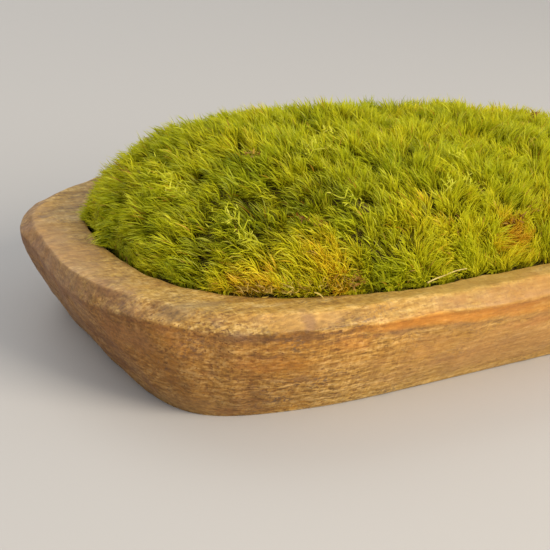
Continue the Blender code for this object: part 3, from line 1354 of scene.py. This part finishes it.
@dataclass
class PaleSprigs:
    """Paler moss sprigs that branch over the cushion like small ferns."""

    ribbons: LeafRibbons = LeafRibbons(widths=(0.9, 1.00, 0.9, 0.7), climb=0.2)
    seed: int = 83
    width: float = 0.00098
    branch_share: float = 0.42
    twig_width: float = 0.85
    end_width: float = 0.65
    ends_kept: float = 0.25
    buried: float = 0.55
    # Where each sprig starts, its length and its lean from upright in degrees.
    places: tuple = (
        ((-0.166, -0.006, 0.1075), 0.017, 40.0),
        ((-0.1672, -0.029, 0.1035), 0.016, 62.0),
        ((-0.156, -0.056, 0.099), 0.019, 84.0),
        ((-0.149, -0.069, 0.095), 0.016, 28.0),
        ((-0.148, -0.076, 0.092), 0.014, 66.0),
        ((-0.084, -0.08, 0.103), 0.016, 30.0),
        ((-0.09, -0.039, 0.1215), 0.017, -24.0),
        ((-0.056, -0.007, 0.1235), 0.009, 80.0),
        ((0.005, -0.056, 0.111), 0.016, 24.0),
        ((-0.007, -0.076, 0.105), 0.013, -48.0),
        ((-0.021, -0.078, 0.105), 0.015, -10.0),
        ((0.135, 0.01, 0.106), 0.014, -85.0),
        ((0.05, 0.085, 0.098), 0.014, 85.0),
        ((-0.07, 0.085, 0.099), 0.014, 80.0),
    )

    def branches(self, points: Array, headings: Array, reach: Array,
                 rng: np.random.Generator) -> tuple:
        """Places, directions and lengths of side branches on both sides of each ribbon.

        Args:
            points: Points of the ribbons that branch.
            headings: Direction of each.
            reach: Length of each.
            rng: Random generator.

        Returns:
            Roots, headings and lengths of the branches.
        """
        roots, starts, lengths = [], [], []
        outward = np.array((-0.4, -0.62, 0.67))
        for joint in (2, 4, 6, 8):
            for hand in (-1.0, 1.0):
                centre = points[:, joint] if joint == 8 else points[:, joint:joint + 2].mean(1)
                sideways = unit(np.cross(headings, outward)) * hand
                spread = rng.uniform(0.5, 1.0, (len(points), 1))
                roots.append(centre)
                starts.append(unit(headings * 0.8 + sideways * spread + 0.12 * outward
                                   + rng.normal(0.0, 0.15, headings.shape)))
                lengths.append(reach * self.branch_share * rng.uniform(0.6, 1.3, len(points)))
        return np.concatenate(roots), np.concatenate(starts), np.concatenate(lengths)

    def layer(self, roots: Array, headings: Array, reach: Array, width: float,
              rng: np.random.Generator) -> Array:
        """Bend one layer of stems or branches.

        Args:
            roots: Foot of each.
            headings: Direction in which each starts.
            reach: Length of each.
            width: Width of all.
            rng: Random generator.

        Returns:
            Ribbons by points by 3.
        """
        across = unit(rng.normal(0.0, 1.0, roots.shape))
        curl = rng.normal(0.0, 0.45, roots.shape)
        return self.ribbons.bend(roots, headings, across, curl, reach,
                                 np.full(len(roots), width))

    def build(self, material: bpy.types.Material) -> bpy.types.Object:
        """Grow stems, branches and twigs.

        Args:
            material: Pale leaf material.

        Returns:
            The sprigs.
        """
        rng = np.random.default_rng(self.seed)
        roots = np.array([place for place, _, _ in self.places])
        reach = np.array([length for _, length, _ in self.places])
        lean = np.radians([degrees for _, _, degrees in self.places])[:, None]
        side = np.array(MossShoots.lean_direction)
        headings = unit(np.sin(lean) * side + np.cos(lean) * (0.0, 0.0, 1.0) + (0.0, -0.1, 0.0))
        roots = roots - headings * (self.buried * reach)[:, None]
        stems = self.layer(roots, headings, reach, self.width, rng)
        roots, headings, reach = self.branches(stems, headings, reach, rng)
        twigs = self.layer(roots, headings, reach, self.twig_width * self.width, rng)
        roots, headings, reach = self.branches(twigs, headings, reach, rng)
        kept = rng.uniform(0.0, 1.0, len(roots)) < self.ends_kept
        ends = self.layer(roots[kept], headings[kept], reach[kept], self.end_width * self.width,
                          rng)
        points = np.concatenate([stems, twigs, ends])
        hue = rng.uniform(0.15, 0.75, len(points))
        light = rng.uniform(0.62, 0.86, len(points))
        return self.ribbons.join("pale_branching_sprigs", points, hue, light, material)


@dataclass
class DeadBits:
    """Dead brown and straw-coloured leaves caught in the moss and along its edge."""

    ribbons: LeafRibbons = LeafRibbons(widths=(0.6, 1.00, 0.9, 0.6), climb=0.25)
    seed: int = 97
    # Middle of each cluster, its radius, number of leaves, leaf length, leaf width and hue.
    clusters: tuple = (
        ((-0.1207, -0.0268, 0.1225), 0.004, 14, 0.0055, 0.0013, 0.4),
        ((-0.1089, -0.0849, 0.0985), 0.0025, 8, 0.0045, 0.0013, 0.3),
        ((-0.118, -0.079, 0.1015), 0.0035, 10, 0.004, 0.0009, 0.05),
        ((-0.156, -0.088, 0.07), 0.006, 26, 0.0065, 0.0007, 0.5),
        ((-0.145, -0.095, 0.0695), 0.006, 26, 0.0065, 0.0007, 0.6),
        ((-0.134, -0.099, 0.07), 0.006, 26, 0.007, 0.0007, 0.75),
        ((-0.121, -0.1035, 0.07), 0.006, 22, 0.007, 0.0007, 0.75),
        ((-0.108, -0.106, 0.071), 0.006, 22, 0.0065, 0.0007, 0.7),
        ((-0.0985, -0.1075, 0.0715), 0.0045, 34, 0.0065, 0.0008, 0.3),
        ((0.016, -0.098, 0.0875), 0.006, 40, 0.006, 0.0008, 0.12),
        ((0.038, -0.093, 0.0915), 0.005, 16, 0.006, 0.0008, 0.25),
        ((0.13, 0.02, 0.108), 0.006, 16, 0.006, 0.001, 0.3),
        ((0.05, 0.09, 0.095), 0.007, 30, 0.0065, 0.0008, 0.5),
        ((-0.08, 0.098, 0.085), 0.007, 30, 0.0065, 0.0008, 0.4),
    )

    def build(self, material: bpy.types.Material) -> bpy.types.Object:
        """Scatter the dead leaves.

        Args:
            material: Dead leaf material.

        Returns:
            The dead leaves.
        """
        rng = np.random.default_rng(self.seed)
        parts, hues = [], []
        for centre, radius, number, length, width, hue in self.clusters:
            offsets = rng.normal(0.0, 0.5, (number, 3)) * radius * (1.3, 0.8, 0.5)
            headings = rng.normal(0.0, 1.0, (number, 3)) * (1.0, 0.8, 0.6)
            headings = unit(headings + (-0.4, -0.2, 0.3))
            across = unit(rng.normal(0.0, 1.0, (number, 3)))
            curl = rng.normal(0.0, 1.1, (number, 3))
            reach = length * rng.uniform(0.6, 1.3, number)
            wide = width * rng.uniform(0.7, 1.3, number)
            parts.append(self.ribbons.bend(np.array(centre) + offsets, headings, across, curl,
                                           reach, wide))
            hues.append(hue + rng.normal(0.0, 0.12, number))
        points = np.concatenate(parts)
        light = rng.uniform(0.3, 0.62, len(points))
        return self.ribbons.join("dead_leaf_bits", points, np.concatenate(hues), light, material)


@dataclass
class DryStraw:
    """One dry straw that lies on the lowest leaves along the front rim."""

    start: tuple = (-0.0565, -0.1165, 0.0668)
    end: tuple = (-0.028, -0.1148, 0.0705)
    radius: float = 0.00048
    arch: float = 0.0009
    sides: int = 10
    rows: int = 24

    def build(self, finish: DeadFibres) -> bpy.types.Object:
        """Model the straw as a thin bent tube with closed ends.

        Args:
            finish: Finish of the straw.

        Returns:
            The straw.
        """
        along = np.linspace(0.0, 1.0, self.rows + 1)
        turn = np.linspace(0.0, FULL_TURN, self.sides + 1)
        first, last = np.array(self.start), np.array(self.end)
        middle = first + (last - first) * along[:, None]
        middle[:, 2] += self.arch * np.sin(np.pi * along) + 0.0002 * np.sin(11.0 * along)
        forward = unit(last - first)
        flat = unit(np.cross(forward, (0.0, 0.0, 1.0)))
        upright = np.cross(flat, forward)
        taper = self.radius * (1.0 - 0.45 * along)
        ring = np.cos(turn)[:, None, None] * flat + np.sin(turn)[:, None, None] * upright
        straw = skin("dry_straw", middle[None] + ring * taper[None, :, None], finish)
        return settle(straw, MOSS_NODE)


@dataclass
class Studio:
    """Pale floor, soft lights and the camera."""

    floor_radius: float = 9.0
    camera_place: tuple = (-0.4701, -0.6328, 0.3468)
    yaw: float = 0.5463
    pitch: float = 0.4045
    roll: float = 0.061
    lens: float = 83.66
    sensor: float = 36.0
    world_colour: str = "#e6e9ee"
    world_strength: float = 0.8
    aim: tuple = (0.0, 0.0, 0.07)
    # Name, place, size, power in watts and colour of each lamp.
    lamps: tuple = (
        ("key_light", (0.8, -1.75, 1.15), 1.2, 66.0, "#fff4e4"),
        ("fill_light", (-1.6, -0.9, 1.5), 1.8, 12.0, "#eef3ff"),
        ("back_light", (-0.4, 1.6, 1.6), 1.6, 14.0, "#ffffff"),
    )

    def light(self, name: str, place: tuple, size: float, power: float, colour: str) -> None:
        """Add a square soft light aimed at the moss.

        Args:
            name: Name of the lamp.
            place: Where it stands.
            size: Length of its sides.
            power: Power in watts.
            colour: Hex colour of its light.
        """
        lamp = bpy.data.lights.new(name, "AREA")
        lamp.size = size
        lamp.energy = power
        lamp.color = linear(colour)[:3]
        holder = bpy.data.objects.new(name, lamp)
        holder.location = place
        sight = Vector(self.aim) - Vector(place)
        holder.rotation_euler = sight.to_track_quat("-Z", "Y").to_euler()
        bpy.context.scene.collection.objects.link(holder)

    def build(self) -> None:
        """Set up the floor, the lights, the world and the camera."""
        ground = bmesh.new()
        bmesh.ops.create_circle(ground, cap_ends=True, segments=96, radius=self.floor_radius)
        floor = finish_mesh(ground, "studio_floor", PaleFloor())
        for lamp in self.lamps:
            self.light(*lamp)
        world = bpy.data.worlds.new("studio_world")
        world.use_nodes = True
        backdrop = world.node_tree.nodes["Background"]
        backdrop.inputs["Color"].default_value = linear(self.world_colour)
        backdrop.inputs["Strength"].default_value = self.world_strength
        bpy.context.scene.world = world
        bpy.context.scene.view_settings.view_transform = "Standard"
        self.camera()

    def camera(self) -> None:
        """Add the camera, turned by its yaw, pitch and roll."""
        ahead = Vector((math.sin(self.yaw) * math.cos(self.pitch),
                        math.cos(self.yaw) * math.cos(self.pitch), -math.sin(self.pitch)))
        level = Vector((math.cos(self.yaw), -math.sin(self.yaw), 0.0))
        upright = level.cross(ahead)
        right = math.cos(self.roll) * level + math.sin(self.roll) * upright
        top = -math.sin(self.roll) * level + math.cos(self.roll) * upright
        turned = Matrix((right, top, -ahead)).transposed()
        lens = bpy.data.cameras.new("camera")
        lens.sensor_width = self.sensor
        lens.lens = self.lens
        lens.clip_start = 0.01
        camera = bpy.data.objects.new("camera", lens)
        camera.matrix_world = Matrix.Translation(self.camera_place) @ turned.to_4x4()
        bpy.context.scene.collection.objects.link(camera)
        bpy.context.scene.camera = camera


def report(piece: bpy.types.Object) -> None:
    """Log a piece's name and number of faces."""
    log.info("%s: %d faces", piece.name, len(piece.data.polygons))


def main() -> None:
    """Build every piece in order."""
    logging.basicConfig(level=logging.INFO, format="%(message)s")
    bowl = DoughBowl()
    report(bowl.build(CarvedHardwood()))
    cushion = MossCushion(bowl)
    # The felt of dead stems shows dark between the leaves.
    report(cushion.build(DeadFibres(
        "dead_moss_felt", tones=((0.3, "#2c2410"), (0.52, "#4a3f18"), (0.75, "#6d6222")),
        fibre=1.4 * MM, drawn_out=1.0, detail=3.0, unevenness=0.6, relief=0.8,
        relief_depth=1.4 * MM, roughness=0.9, shine=0.15)))
    for piece in MossShoots(cushion).build(LeafTissue().build()):
        report(piece)
    pale = LeafTissue("pale_branching_leaf", hues=(
        (0.0, "#c6ca2e"), (0.5, "#dcdc3c"), (1.0, "#eee474")))
    report(PaleSprigs().build(pale.build()))
    dead = LeafTissue("dead_curled_leaf", light_through=0.25, hues=(
        (0.0, "#8f5f26"), (0.4, "#a8843c"), (0.8, "#c9af56"), (1.0, "#dccb84")))
    report(DeadBits().build(dead.build()))
    # A straw is pale, and its fibres run along it.
    report(DryStraw().build(DeadFibres(
        "dry_straw_stem", tones=((0.32, "#a08a44"), (0.68, "#cdbb74")), fibre=0.5 * MM,
        drawn_out=0.12, detail=2.0, unevenness=0.5, relief=0.4, relief_depth=0.1 * MM,
        roughness=0.65, shine=0.3)))
    Studio().build()


if __name__ == "__main__":
    main()
